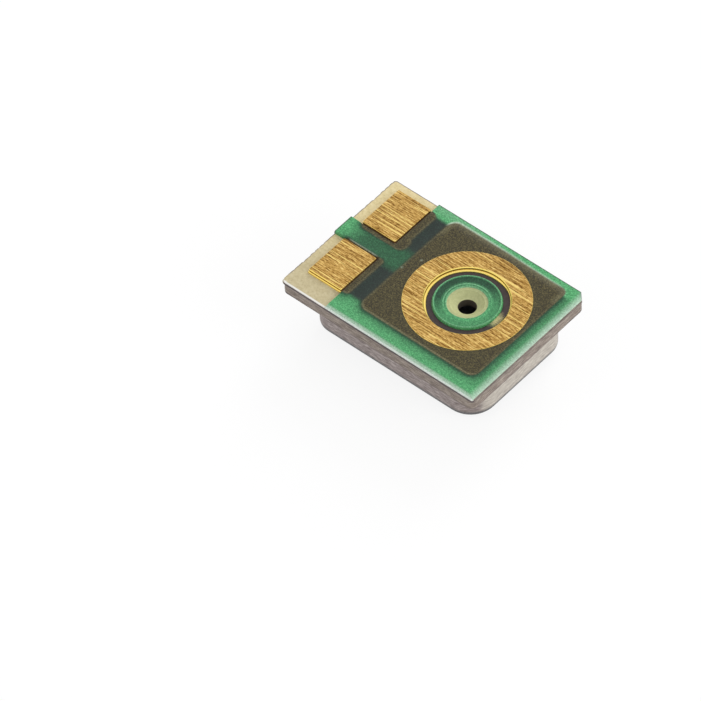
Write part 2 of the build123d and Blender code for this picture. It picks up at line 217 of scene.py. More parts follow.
def blend(tree, share, first, second):
    """Colour mix: a share of 0 gives the first and 1 the second."""
    return node(tree, "Mix", {0: share, 6: first, 7: second}, data_type="RGBA").outputs[2]


def ramp(tree, value, *stops):
    """Colour by value: each stop is a place from 0 to 1 and a colour as seen."""
    made = node(tree, "ValToRGB", {0: value})
    elements = made.color_ramp.elements
    stops = [(position, tint(*colour)) for position, colour in stops]
    elements[0].position, elements[0].color = stops[0]
    elements[1].position, elements[1].color = stops[-1]
    for position, colour in stops[1:-1]:
        elements.new(position).color = colour
    return made.outputs[0]


def bump(tree, shader, height, depth):
    """Roughens the surface: height, 0 to 1, times depth in mm."""
    made = node(tree, "Bump", {"Height": height, "Distance": depth * MM})
    tree.links.new(made.outputs[0], shader.inputs["Normal"])


board_low, board_high = span("board_core")
board_middle, board_half = flat_box("board_core")
board_top = board_high[2]
port, ring_half = flat_box("ground_ring")
lip_thickness = 0.03
lip_corners = (0.03, 0.095, 0.05, 0.07)
cut_corner = 1
side_step = 0.012
side_corners = (0.10, 0.12, 0.10, 0.09)
dish_radius = 0.235
port_radius = 0.13
dish_depth = 0.075
dish_bulge = 0.012
near_to_far = (-1.1, 0.5)
dish_edge = (0.25, 0.30)
groove_start = (0.36, 0.40)
groove_end = (0.60, 0.63)
layer_depth = 0.004


def laminate_finish():
    """Glass fibre, mottled on its faces, cream at the near side and paler at the far side, and
    taupe with layered streaks where it is sawn. Its four attributes mark the sawn wall, its rows of
    painted shade, the painted highlight on the ridge of its near lip and the painted shade down
    the port's wall."""
    material, tree, shader = finish("laminate", Roughness=0.62)
    mottle = cloud(tree, (28, 28, 28), detail=4, roughness=0.65)
    near_tone = ramp(
        tree, mottle, (0.25, (182, 168, 131)), (0.5, (203, 190, 151)), (0.8, (220, 209, 175))
    )
    far_tone = ramp(
        tree, mottle, (0.25, (208, 190, 140)), (0.5, (230, 213, 163)), (0.8, (246, 232, 190))
    )
    across = node(tree, "SeparateXYZ", {0: place(tree)}).outputs[1]
    colour = blend(tree, level(tree, across, *near_to_far), near_tone, far_tone)
    from_port = away(tree, (*port, board_top))
    in_dish = level(tree, from_port, *dish_edge, 1.0, 0.0)
    dish_tone = ramp(tree, mottle, (0.2, (170, 174, 124)), (0.8, (204, 206, 154)))
    colour = blend(tree, in_dish, colour, dish_tone)
    past_start = level(tree, from_port, *groove_start)
    before_end = level(tree, from_port, *groove_end, 1.0, 0.0)
    in_groove = calc(tree, "MULTIPLY", past_start, before_end)
    groove_tone = ramp(tree, mottle, (0.2, (50, 40, 42)), (0.8, (78, 66, 64)))
    colour = blend(tree, in_groove, colour, groove_tone)
    layers = cloud(tree, (8, 8, 62), detail=5, roughness=0.72)
    sawn = ramp(tree, layers, (0.34, (99, 86, 79)), (0.5, (144, 131, 121)), (0.66, (187, 174, 162)))
    colour = blend(tree, mark(tree, "cut"), colour, sawn)
    # Painted shade on the shaded rows and down the bore, and a painted highlight on the near ridge.
    tones = {"shaded": (84, 74, 78), "chalk": (244, 243, 238), "bore": (84, 77, 68)}
    for name, tone in tones.items():
        colour = blend(tree, mark(tree, name), colour, tint(*tone))
    tree.links.new(colour, shader.inputs["Base Color"])
    bump(tree, shader, layers, layer_depth)
    return material


# The wall: hoops up the sawn side, out under the lip, up its edge and in over the rim.
board_steps = (230, 160, 12)
side_rows = 22
lip_reach = np.array([0.1, 0.7, 0.9, 1.0])[:, None, None]
rim_insets = (0.002, 0.006, 0.012, 0.020, 0.034, 0.048)
lip_z = np.array([-1.0, -0.93, -0.8, -0.35, -0.12, 0, 0, 0, 0, 0]) * lip_thickness
side_half = board_half - side_step
side_hoop = hoop(board_middle, side_half, side_corners, board_steps)
lip_hoop = hoop(board_middle, board_half, lip_corners, board_steps, cut=cut_corner)
side_z = np.linspace(board_low[2], board_top - lip_thickness, side_rows)
side_wall = raised(np.broadcast_to(side_hoop, (side_rows, *side_hoop.shape)), side_z[:, None])
rim_hoops = []
for inset in rim_insets:
    corners = [radius - 0.5 * inset for radius in lip_corners]
    rim_hoops.append(hoop(board_middle, board_half - inset, corners, board_steps, cut=cut_corner))
lip_plan = np.concatenate([side_hoop + lip_reach * (lip_hoop - side_hoop), rim_hoops])
wall = np.concatenate([side_wall, raised(lip_plan, board_top + lip_z[:, None])])

# The saw's roughness pushes the wall inwards, and chips bite the rim where the film is left off.
saw_roughness = 0.003
chip_depth = 0.016
chip_grain = 0.045
chip_height = 0.06
chip_least = 0.15
plain_share, fine_share, broad_share = 0.6, 0.4, 0.5
window_depth = 0.06
window_edge = 0.32
rim_fade = (0.8, 0.5, 0.2, 0.0)
inwards = np.append(board_middle, 0) - wall
inwards = inwards * (np.abs(inwards) > [*(side_half - max(side_corners)), np.inf])
inwards /= np.maximum(np.linalg.norm(inwards, axis=-1, keepdims=True), 1e-9)
fine_grain = grain(wall, (0.05, 0.05, 0.02), seed=3)
broad_grain = grain(wall, (0.25, 0.25, 0.05), seed=4)
rough = plain_share + fine_share * fine_grain + broad_share * broad_grain
at_rear = wall[..., 0] < -board_half[0] + window_depth
at_window = at_rear & (np.abs(wall[..., 1] - port[1]) > window_edge)
chips = np.clip(grain(wall * [1, 1, 0], chip_grain, seed=6) - chip_least, 0, 1)
chips = chips * smooth(-chip_height, 0, wall[..., 2] - board_top)
rough = saw_roughness * np.clip(rough, 0, 2) + chip_depth * at_window * chips
fade = np.ones(len(wall))
fade[-len(rim_fade):] = rim_fade
wall = wall + inwards * (rough * fade[:, None])[..., None]

# The faces: flat to the dish, down the dish as a line with a bulge of four t times one less t,
# through the port, and back along the underside.
inner_shares = (0.34, 0.67)
bore_step = 0.004
under_ring = 0.2
dish_share = np.linspace(0, 1, 12)
dish_r = dish_radius + (port_radius - dish_radius) * dish_share
dish_z = -dish_depth * dish_share - 4 * dish_bulge * dish_share * (1 - dish_share)
dish_hoop = round_port(lip_hoop, dish_radius)
port_hoop = round_port(lip_hoop, port_radius)
bore_z = (board_top - dish_depth - bore_step, board_low[2])
face_rows = [rim_hoops[-1] + share * (dish_hoop - rim_hoops[-1]) for share in inner_shares]
face_rows = [raised(flat, board_top) for flat in face_rows]
dish_rows = [raised(round_port(lip_hoop, r), board_top + z) for r, z in zip(dish_r, dish_z)]
bore_rows = [raised(port_hoop, z) for z in bore_z]
under_row = raised(round_port(lip_hoop, port_radius + under_ring), board_low[2])
board_rows = np.concatenate([wall, face_rows, dish_rows, bore_rows, [under_row]])

# The marks, row by row: sawn up to the rim, but for the corner with the chipped lip; painted
# shade under the lip and along the foot past the can; a painted highlight on the ridge of the
# near lip; painted shade down the port's bore.
sawn_rows = slice(0, side_rows + 7)
lip_rows = slice(side_rows + 1, side_rows + 7)
dark_rows = slice(side_rows - 1, side_rows + 8)
ridge_rows = slice(side_rows + 6, side_rows + 9)
foot_rows = slice(0, 4)
port_rows = slice(-3, -1)
near_shade = np.array([0.1, 0.25, 0.5, 0.9, 1.0, 0.9, 0.6, 0.15, 0.0])[:, None]
front_shade = np.array([0.05, 0.1, 0.2, 0.35, 0.4, 0.4, 0.4, 0.35, 0.15])[:, None]
foot_shade = np.array([1.0, 0.8, 0.5, 0.2])[:, None]
ridge_white = np.array([0.5, 0.9, 1.0])[:, None]
beside_can = 0.45
wall_zone = 0.05
other_side = 0.35
corner_x, corner_y = (-1.668, -1.60), (-1.12, -0.95)
rear_overhang = (-1.36, -1.44)
front_overhang, overhang_side = (1.42, 1.50), (0.78, 0.86)
board_x, board_y = board_rows[..., 0], board_rows[..., 1]
at_near = board_y < -board_half[1] + wall_zone
at_front = board_x > board_half[0] - wall_zone
off_corner = np.maximum(smooth(*corner_x, board_x), smooth(*corner_y, board_y))
cut, shaded, chalk, bore = np.zeros((4, *board_x.shape))
cut[sawn_rows] = 1
cut[lip_rows] *= off_corner[lip_rows]
cut[-1] = 1
shaded[dark_rows] = np.where(at_near[dark_rows], near_shade, front_shade)
shaded *= np.where(at_near | at_front, 1.0, other_side) * off_corner
foot_x, foot_y = board_x[foot_rows], board_y[foot_rows]
past_rear = smooth(*rear_overhang, foot_x)
past_front = smooth(*front_overhang, foot_x) * smooth(*overhang_side, foot_y)
past_can = beside_can + (1 - beside_can) * np.maximum(past_rear, past_front)
shaded[foot_rows] = foot_shade * past_can
chalk[ridge_rows] = ridge_white
chalk *= at_near
# Painted shade: the port's bore is darkened.
bore[port_rows] = 1
board_faces = hoops(board_rows, closed=True)
board = piece(
    "laminate_board", board_rows, board_faces, laminate_finish(), ["board_core"]
)
marked(board, cut=cut, bore=bore, shaded=shaded, chalk=chalk)

# Copper. Etched foil on both sides of the board: the ground plane and the two lands under the
# film, the frame that the can is soldered to, and the vias that join the sides.


def dressed(material, *names):
    """Gives CAD nodes a material."""
    for name in names:
        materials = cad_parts[name].data.materials
        materials.clear()
        materials.append(material)


def metal_finish(name, dark, middle, light, stretch, roughness, depth=0.002):
    """Bare metal, streaked one way: colour and height follow noise drawn out along the streaks."""
    material, tree, shader = finish(name, Metallic=1.0, Roughness=roughness)
    streaks = cloud(tree, stretch, detail=6, roughness=0.7)
    colour = ramp(tree, streaks, (0.28, dark), (0.5, middle), (0.72, light))
    tree.links.new(colour, shader.inputs["Base Color"])
    bump(tree, shader, streaks, depth)
    return material


# Dark brown: oxide on the copper, and painted shade for the narrow gaps beside the gold where it
# shows.
copper = metal_finish("copper", (52, 38, 28), (74, 54, 40), (104, 76, 56), (14, 14, 14), 0.5)
dressed(copper, "ground_plane", "supply_land", "output_land", "can_land")
dressed(copper, "supply_via", "output_via", "ground_vias")

# Gold. Plating over the bare copper of the ring and the two pads, brushed along the board.
# Round the inside of the ring, and along the near pad, it ends in a thin foot on the laminate.
gold_top = span("ground_ring")[1][2]
plating = 0.02
copper_top = gold_top - plating
gold_height = gold_top - board_top
brushed_roughness = 0.45
polished_roughness = 0.34
brush_depth = 0.0012
deep_tone = 0.9
deep_level = 0.022
deep_reach = 0.0085
top_margin = 0.0005
bright_scratch = (0.61, 0.67, 0.0, 0.8)
dark_scratch = (0.30, 0.37, 0.5, 0.0)
gold_crease = 28

# Walls of the plating: steps outwards from the foot, and down from the top.
stepped_wall = np.array([
    (0.048, 0.0), (0.044, -0.001), (0.035, -0.010), (0.0335, -0.014), (0.0325, -0.030),
    (0.031, -0.034), (0.010, -0.036), (0.004, -0.039), (0.0, -0.045), (0.0, -gold_height),
])
pad_wall = np.array([
    (0.030, 0.0), (0.026, -0.002), (0.020, -0.010), (0.0175, -0.015), (0.0165, -0.030),
    (0.0155, -0.034), (0.006, -0.0355), (0.002, -0.038), (0.0, -0.044), (0.0, -gold_height),
])
plain_wall = np.array([
    (0.010, 0.0), (0.008, -0.0005), (0.002, -0.006), (0.001, -0.010), (0.001, -0.030),
    (0.001, -0.034), (0.001, -0.036), (0.0, -0.039), (0.0, -0.045), (0.0, -gold_height),
])


def gold_finish():
    """Gold brushed along X: fine streaks and grain, and a few long scratches, bright and dark.
    One attribute marks the smooth edges of the walls, less rough and with a painted highlight,
    and the other a band of painted shade down the steep wall above a foot."""
    material, tree, shader = finish("gold", Metallic=1.0, Roughness=brushed_roughness)
    streak = cloud(tree, (3.0, 60, 22), detail=1.5, roughness=0.5)
    fleck = cloud(tree, (18, 66, 36), detail=2, roughness=0.6)
    scratch = cloud(tree, (0.8, 34, 12), detail=1, roughness=0.3)
    mean = calc(tree, "MULTIPLY", calc(tree, "ADD", streak, fleck), 0.5)
    colour = ramp(
        tree, mean, (0.36, (102, 68, 26)), (0.44, (164, 124, 62)), (0.51, (200, 160, 90)),
        (0.58, (226, 188, 113)), (0.66, (251, 222, 147)),
    )
    colour = blend(tree, level(tree, scratch, *bright_scratch), colour, tint(255, 228, 142))
    colour = blend(tree, level(tree, scratch, *dark_scratch), colour, tint(112, 78, 36))
    polished = mark(tree, "polished")
    # Painted highlight on the smoother edges of the walls, and painted shade down the steep wall
    # above a foot.
    colour = blend(tree, polished, colour, tint(255, 226, 124))
    colour = blend(tree, mark(tree, "deep"), colour, tint(150, 98, 32))
    tree.links.new(colour, shader.inputs["Base Color"])
    roughness = level(tree, polished, 0.0, 1.0, brushed_roughness, polished_roughness)
    tree.links.new(roughness, shader.inputs["Roughness"])
    unpolished = level(tree, polished, 0.0, 0.5, 1.0, 0.0)
    bump(tree, shader, calc(tree, "MULTIPLY", streak, unpolished), brush_depth)
    return material


gold = gold_finish()
ring_outer = ring_half[0]
ring_inner = 0.55
foot_width = 0.022
foot_reach = ring_inner + 0.030
foot_pull = 0.022
foot_side = math.radians(335)
foot_side_edge = (-0.45, 0.25)
bright_radius = ring_inner + 0.0471
deep_radius = ring_inner + 0.04
around = 240
angle = 2 * math.pi * np.arange(around) / around
circle = np.stack([np.cos(angle), np.sin(angle)], axis=-1)
foot_root = ring_inner + foot_width + plating
outer_wall = ((0.0, -plating), (0.0, -0.005), (-0.001, -0.002), (-0.006, 0.0))
ring_section = np.array([
    *((ring_outer + out, gold_top + down) for out, down in outer_wall),
    *((ring_inner + out, gold_top + down) for out, down in stepped_wall),
    (foot_root, board_top), (foot_root, copper_top),
])
ring_radius = np.repeat(ring_section[:, :1], around, axis=1)
pull = foot_pull * smooth(*foot_side_edge, np.cos(angle - foot_side))
pull = np.where(ring_radius < foot_reach, pull, 0)
ring_radius += pull * (foot_reach - ring_radius) / (foot_reach - ring_inner)
ring_rows = raised(port + ring_radius[..., None] * circle, ring_section[:, 1:])
ring_faces = hoops(ring_rows, closed=True)
gold_ring = piece(
    "gold_ring", ring_rows, ring_faces, gold, ["ground_ring"], crease=gold_crease
)
ring_r, ring_z = ring_section.T
# The ring's walls and inner edge are smoother, with a painted highlight, and its steep inner wall
# takes a band of painted shade.
ring_polished = (ring_z < gold_top - top_margin) | (ring_r < bright_radius)
ring_deep = (np.abs(ring_z - gold_top + deep_level) < deep_reach) & (ring_r < deep_radius)
ring_polished, ring_deep = (np.repeat(rows, around) for rows in (ring_polished, ring_deep))
marked(gold_ring, polished=ring_polished, deep=deep_tone * ring_deep)

pad_steps = (30, 36, 8)
pad_corner = 0.02
pad_foot_zone = 0.05
pad_other_walls = 0.4
pad_boxes = {}
for name, near_wall in (("supply", plain_wall), ("output", pad_wall)):
    pad_boxes[name] = middle, half = flat_box(name + "_pad")
    rows = []
    for (near, down), (out, _) in zip(near_wall[::-1], plain_wall[::-1]):
        row_middle = middle + [0, (near - out) / 2]
        row_half = half - [out, (near + out) / 2]
        corners = (pad_corner - 0.5 * out,) * 4
        rows.append(raised(hoop(row_middle, row_half, corners, pad_steps), gold_top + down))
    rows = np.array(rows)
    cap = list(range(rows[:-1, :, 0].size, rows[..., 0].size))
    base = list(range(rows.shape[1]))[::-1]
    faces = [*hoops(rows), cap, base]
    pad = piece(
        name + "_pad_gold", rows, faces, gold, [name + "_pad"], crease=gold_crease
    )
    # The pad's walls are smoother, with a painted highlight strongest along the near foot, and the
    # near wall takes a band of painted shade.
    at_foot = rows[..., 1] < middle[1] - half[1] + pad_foot_zone
    bare = (rows[..., 2] < gold_top - top_margin) * np.where(at_foot, 1.0, pad_other_walls)
    deep = at_foot * (np.abs(rows[..., 2] - gold_top + deep_level) < deep_reach)
    marked(pad, polished=bare, deep=deep_tone * deep)
dressed(gold, "supply_bond_pad", "output_bond_pad", "ground_bond_pad")

# Outer solder mask. A green film, printed and cured: it thins to the board's rim, climbs over
# the copper, where it shows olive brown, and stops short of the gold with a soft rounded edge.
film_step = 0.0125
film_thickness = 0.042
film_over_copper = 0.05
copper_shoulder = 0.004
near_setback = 0.010
front_setback = 0.018
far_setback = 0.001
film_gap = 0.001
pad_gap = 0.014
window_gap = 0.008
film_flow = 0.04
land_flow = 0.08
near_rim = 0.075
near_least = 0.15
near_curve = 0.75
far_rim = 0.010
far_least = 0.86
far_climb = (0.16, 0.04)
flow_start, flow_end, flow_side = (-1.35, -1.05), (-0.50, -0.60), (0.95, 0.85)
film_edge = 0.015
edge_least = 0.5
window_corner = 0.02
plane_corner = 0.13
land_corner = 0.05
beyond = 1.0


def from_box(x, y, middle, half, corner):
    """Signed distance to a rectangle with rounded corners, below zero inside it."""
    over_x = np.abs(x - middle[0]) - (half[0] - corner)
    over_y = np.abs(y - middle[1]) - (half[1] - corner)
    outside = np.hypot(np.maximum(over_x, 0), np.maximum(over_y, 0))
    return outside + np.minimum(np.maximum(over_x, over_y), 0) - corner


def from_span(x, y, x_span, y_span, corner):
    """Signed distance to a rectangle given by its two spans."""
    middle = np.array([sum(x_span), sum(y_span)]) / 2
    half = np.array([x_span[1] - x_span[0], y_span[1] - y_span[0]]) / 2
    return from_box(x, y, middle, half, corner)


def near_distance(x, y):
    """How far a point lies inside the film's rim at the near side and the front end."""
    return np.minimum(y + board_half[1] - near_setback, board_half[0] - x - front_setback)


def far_distance(x, y):
    """How far a point lies inside the film's rim at the far side, the rear end and the cut
    corner."""
    straight = np.minimum(board_half[1] - y, x + board_half[0])
    corner = (board_half.sum() - lip_corners[cut_corner] - x - y) / math.sqrt(2)
    return np.minimum(straight, corner) - far_setback


def from_openings(x, y):
    """How far a point lies from the pads' openings and from the bare windows beside the pads."""
    least = np.full_like(x, beyond)
    for name, side in (("supply", 1), ("output", -1)):
        middle, half = pad_boxes[name]
        least = np.minimum(least, from_box(x, y, middle, half + pad_gap, pad_corner))
        rear = (board_low[0] - beyond, middle[0] - half[0])
        rear_y = (middle[1] - side * (half[1] + window_gap), side * (board_half[1] + beyond))
        flank = (board_low[0] - beyond, middle[0] + half[0] + window_gap)
        flank_y = (middle[1] + side * half[1], side * (board_half[1] + beyond))
        for x_span, y_span in ((rear, rear_y), (flank, flank_y)):
            window = from_span(x, y, x_span, sorted(y_span), window_corner)
            least = np.minimum(least, window)
    return least


def film_inside(x, y):
    """How far a point lies inside the film, in mm: the least of its distances to the rim, to the
    gold ring, to the pads' openings and to the bare windows."""
    from_ring = np.hypot(x - port[0], y - port[1]) - ring_outer - film_gap
    return np.min([far_distance(x, y), near_distance(x, y), from_ring, from_openings(x, y)], axis=0)


def from_copper(x, y):
    """Signed distances to the ground plane and to the supply and output lands."""
    coppers = {"ground_plane": plane_corner, "supply_land": land_corner, "output_land": land_corner}
    return np.array([from_box(x, y, *flat_box(name), r) for name, r in coppers.items()])


def ellipse_edge(distance, width, least):
    """Height factor at an edge: from its least at the edge to 1 a width away, along a quarter of
    an ellipse."""
    share = np.clip(distance / width, 0, 1)
    return least + (1 - least) * np.sqrt(1 - (1 - share) ** 2)


def film_top(x, y):
    """Height of the film: its thickness on the laminate, raised by a smooth step over copper and
    near the far side, and brought down at the rims and the openings."""
    beside_land = smooth(*flow_start, x) * smooth(*flow_end, x) * smooth(*flow_side, y)
    flow = film_flow + land_flow * beside_land
    climb = 1 - smooth(-copper_shoulder, flow, from_copper(x, y).min(axis=0))
    climb = np.maximum(climb, smooth(*far_climb, far_distance(x, y)))
    height = film_thickness + (film_over_copper - film_thickness) * climb
    near_share = np.clip(near_distance(x, y) / near_rim, 0, 1) ** near_curve
    height = height * (near_least + (1 - near_least) * near_share)
    height = height * ellipse_edge(far_distance(x, y), far_rim, far_least)
    return board_top + height * ellipse_edge(from_openings(x, y), film_edge, edge_least)


def grid_cells(counts):
    """Quads between the points of a grid, numbered row by row."""
    index = np.arange(counts[0] * counts[1]).reshape(counts)
    corners = [index[:-1, :-1], index[1:, :-1], index[1:, 1:], index[:-1, 1:]]
    return np.stack(corners, axis=-1).reshape(-1, 4)


def trimmed(cells):
    """The points that cells use, in order, and the cells renumbered to them."""
    used, cells = np.unique(cells, return_inverse=True)
    return used, cells.reshape(-1, 4)


def sheet(cells, over, under):
    """A closed sheet: its points and faces, which are the cells on the upper points, the same
    cells turned over on the lower ones, and a skirt along each side that one cell has alone."""
    count = len(over)
    sides = np.concatenate([cells[:, [k, (k + 1) % 4]] for k in range(4)])
    lone = ~np.isin(sides[:, 0] * count + sides[:, 1], sides[:, 1] * count + sides[:, 0])
    start, end = sides[lone].T
    skirt = np.stack([start, start + count, end + count, end], axis=-1)
    return np.concatenate([over, under]), np.concatenate([cells, cells[:, ::-1] + count, skirt])


# The film is a grid. Its points past an edge are drawn back to it, down the slope of the distance.
hold = 0.3 * film_step
probe = 1e-4
under_step = (-0.001, 0.004)
counts = np.round(2 * board_half / film_step).astype(int) + 1
lines = [board_middle[k] + np.linspace(-board_half[k], board_half[k], counts[k]) for k in (0, 1)]
grid_x, grid_y = (axis.ravel() for axis in np.meshgrid(*lines, indexing="ij"))
inside = film_inside(grid_x, grid_y)
held = inside > hold
cells = grid_cells(counts)
cells = cells[held[cells].any(axis=1)]
slope_x = film_inside(grid_x + probe, grid_y) - film_inside(grid_x - probe, grid_y)
slope_y = film_inside(grid_x, grid_y + probe) - film_inside(grid_x, grid_y - probe)
moved = np.where(held, 0, inside)
film_x = grid_x - moved * (slope_x / (2 * probe))
film_y = grid_y - moved * (slope_y / (2 * probe))
used, cells = trimmed(cells)
film_x, film_y = film_x[used], film_y[used]
coppers = from_copper(film_x, film_y)
on_copper = 1 - smooth(*under_step, coppers.min(axis=0))
over = np.stack([film_x, film_y, film_top(film_x, film_y)], axis=-1)
under = np.stack([film_x, film_y, board_top + (copper_top - board_top) * on_copper], axis=-1)
film_points, film_faces = sheet(cells, over, under)
speckle_depth = 0.0015
film_roughness = 0.34
shade_roughness = 0.58
film_tones = {
    "shade": ((10, 47, 29), (22, 69, 44), (43, 93, 63)),
    "teal": ((6, 18, 13), (16, 33, 26), (34, 53, 44)),
    "pale": ((204, 220, 206), (226, 238, 228), (244, 250, 246)),
    "over_copper": ((25, 21, 5), (60, 53, 24), (100, 92, 56)),
    "line": ((104, 98, 70), (124, 120, 88), (146, 142, 108)),
    "gleam": ((176, 208, 178), (204, 228, 204), (232, 246, 232)),
}


def film_finish():
    """Green film. Attributes shade it: olive brown over copper, darker beside it and teal in the
    narrow gaps, pale where it thins to the rim, and light lines where it turns over an edge,
    with painted highlights on the near rim and along those edges."""
    material, tree, shader = finish("solder_mask", Roughness=film_roughness)
    speckle = cloud(tree, (55, 55, 55), detail=3, roughness=0.65)
    colour = ramp(
        tree, speckle, (0.36, (56, 134, 82)), (0.5, (80, 167, 106)), (0.64, (108, 200, 132))
    )
    for name, (dark, middle, light) in film_tones.items():
        tone = ramp(tree, speckle, (0.34, dark), (0.5, middle), (0.66, light))
        colour = blend(tree, mark(tree, name), colour, tone)
    roughness = level(tree, mark(tree, "shade"), 0.0, 1.0, film_roughness, shade_roughness)
    tree.links.new(roughness, shader.inputs["Roughness"])
    tree.links.new(colour, shader.inputs["Base Color"])
    bump(tree, shader, speckle, speckle_depth)
    return material


def film_marks(made, **marks):
    """Gives a piece of film all the attributes that its material reads, zero where not given."""
    plain = np.zeros(len(made.data.vertices))
    marked(made, **{name: marks.get(name, plain) for name in film_tones})


def bell(value, width):
    """Bell curve: e to the power of minus the square of value over width."""
    return np.exp(-((value / width) ** 2))


film = film_finish()
outer_film = piece(
    "outer_film", film_points, film_faces, film, ["outer_solder_mask"]
)

# Olive brown over the copper, a little past its edges, with a light line along them, where the
# film thins over the edge and with painted highlight, strongest on the edge facing the near side;
# and painted light on a strip just inside the plane's far edge.
plane_middle, plane_half = flat_box("ground_plane")
land_middle, land_half = flat_box("supply_land")
plane_near = plane_middle[1] - plane_half[1]
land_near = land_middle[1] - land_half[1]
plane_spread = [0, 0.006]
plane_lean, lean_x, lean_y = 0.018, (0.3, 1.2), (0.5, 0.9)
tighter, tighter_x, tighter_y = 0.045, (0.6, 0.7), (0.4, 0.5)
land_spread = np.array([0.0125, 0.0075])
land_tone_corner = 0.09
swell_x = (-1.3, land_middle[0] + land_half[0] + 0.062)
swell_y = (land_near - 0.022, land_near + 0.235)
swell_corner = 0.10
lit_strip = (0.93, 1.02)
olive_edge = (0.004, 0.018)
softer, soft_start, soft_end = 0.022, (-0.9, -0.7), (-0.45, -0.52)
line_inset, line_width = 0.004, 0.012
near_line, near_reach, other_line = 0.75, 0.15, 0.22
glow, glow_edge, glow_past, glow_y = 0.45, (-0.10, -0.01), 0.004, (0.70, 0.85)
tone_lean = plane_lean * smooth(*lean_x, film_x) * smooth(*lean_y, film_y)
tone_corner = plane_corner - tighter * smooth(*tighter_x, film_x) * smooth(*tighter_y, film_y)
on_plane = from_box(
    film_x, film_y + tone_lean, plane_middle + plane_spread, plane_half + plane_spread, tone_corner
)
tone_middle, tone_half = land_middle + land_spread * [1, -1], land_half + land_spread
on_land = from_box(film_x, film_y, tone_middle, tone_half, land_tone_corner)
on_land = np.minimum(on_land, from_span(film_x, film_y, swell_x, swell_y, swell_corner))
nearest, second, _ = np.sort([on_plane, on_land, coppers[2]], axis=0)
soft = softer * smooth(*soft_end, film_x) * smooth(*soft_start, film_x)
over_copper = 1 - smooth(olive_edge[0] - soft, olive_edge[1] + soft, nearest)
lit_side = smooth(*lit_strip, film_y)
facing_near = smooth(plane_near + near_reach, plane_near, film_y)
line = bell(nearest + line_inset, line_width) * np.maximum(near_line * facing_near, other_line)
line = line * (1 - lit_side)
far_glow = smooth(*glow_edge, on_plane) * (on_plane < glow_past) * smooth(*glow_y, film_y)
line = np.maximum(line, glow * far_glow)

# Darker green that fades away from the copper, teal in the gaps between plane and lands, and a
# thin dark line along the far rim.
shade_start, shade_fade = 0.028, 0.075
front_fade, front_x = 0.035, (1.38, 1.46)
gap_shade, shade_gap, shade_x, shade_y = 0.9, (0.31, 0.46), (-1.70, -1.24), (-0.98, -0.72)
teal_gap, teal_from, teal_y = (0.247, 0.29), -0.9, (-0.84, -0.76)
lands_between, lands_reach = 0.08, (0.11, 0.28)
rim_dark, rim_line, rim_y = 0.85, (0.025, 0.008), (-1.1, -0.5)
gap = nearest + second
fade_width = shade_fade + front_fade * smooth(*front_x, film_x)
shade = np.exp(-np.maximum(nearest - shade_start, 0) / fade_width) * (1 - lit_side)
between = (1 - smooth(*shade_gap, gap)) * smooth(*shade_x, film_x) * (1 - lit_side)
shade = np.maximum(shade, gap_shade * between * smooth(*shade_y, film_y))
beside_lands = smooth(*lands_reach, np.abs(film_y - lands_between)) * smooth(*teal_y, film_y)
teal = (1 - smooth(*teal_gap, gap)) * (film_x > teal_from) * (1 - lit_side) * beside_lands
far_line = rim_dark * smooth(*rim_line, far_distance(film_x, film_y)) * smooth(*rim_y, film_y)
teal = np.maximum(teal, far_line)

# Pale partly where the film thins and partly painted highlight on its rounded rim: a white line
# of painted highlight with a softer band at the near rim, a broad band at the front end, and a
# breath of pale at the far side.
rim_highlight, soft_band, band_pale = (0.042, 0.026), (0.084, 0.050), 0.50
front_width, front_curve, front_most = 0.12, 1.2, 0.74
far_pale_y, far_pale_x, far_most, off_line = (1.00, 1.12), (0.6, -0.5), 0.08, 0.1
from_near, from_front = film_y + board_half[1], board_half[0] - film_x
near_pale = np.maximum(smooth(*rim_highlight, from_near), band_pale * smooth(*soft_band, from_near))
front_pale = np.clip(1 - from_front / front_width, 0, 1) ** front_curve
far_pale = smooth(*far_pale_y, film_y) * smooth(*far_pale_x, film_x) * (far_line < off_line)
pale = np.max([near_pale, front_most * front_pale, far_most * far_pale], axis=0)

# Gleams along the plane's far edge and along the output pad, and on two specks of dust.
edge_gleam, edge_past, edge_width = 0.70, 0.012, 0.013
edge_loss, edge_x = 0.4, (-0.5, 1.2)
end_loss, end_x = 0.8, (1.26, 1.38)
speck_gleam, speck_size = 0.3, 0.014
specks = ((-0.425, 0.261), (-0.546, 0.001))
pad_gleam, pad_past, pad_width = 0.42, 0.026, 0.010
pad_start, pad_end = (-1.45, -1.38), (-0.90, -0.98)
along_edge = 1 - edge_loss * smooth(*edge_x, film_x)
along_edge = along_edge * (1 - end_loss * smooth(*end_x, film_x))
gleam = edge_gleam * bell(on_plane - edge_past, edge_width) * lit_side * along_edge
for speck_x, speck_y in specks:
    from_speck = np.hypot(film_x - speck_x, film_y - speck_y)
    gleam = np.maximum(gleam, speck_gleam * bell(from_speck, speck_size))
pad_middle, pad_half = pad_boxes["output"]
past_pad = film_y - pad_middle[1] - pad_half[1]
beside_pad = smooth(*pad_start, film_x) * smooth(*pad_end, film_x)
gleam = np.maximum(gleam, pad_gleam * beside_pad * bell(past_pad - pad_past, pad_width))

marks = {"shade": shade, "teal": teal, "pale": pale}
marks |= {"over_copper": over_copper, "line": line, "gleam": gleam}
film_marks(outer_film, **{name: np.tile(share, 2) for name, share in marks.items()})
dressed(film, "inner_solder_mask")

# Port mask ring. An island of the same film inside the gold ring, printed with a raised bead
# round its outer edge, and sloping in to the bare dish.
island_low, island_high = span("port_mask_ring")
island_outer = flat_box("port_mask_ring")[1][0]
island_inner = 0.276
island_height = (island_high - island_low)[2]
bead_radius = island_outer - 0.022
bead_width = 0.014
floor_height = 0.024
slope_width = 0.010
ridge_radius = 0.323
ridge_height = 0.0015
ridge_width = 0.012
outer_edge = 0.012


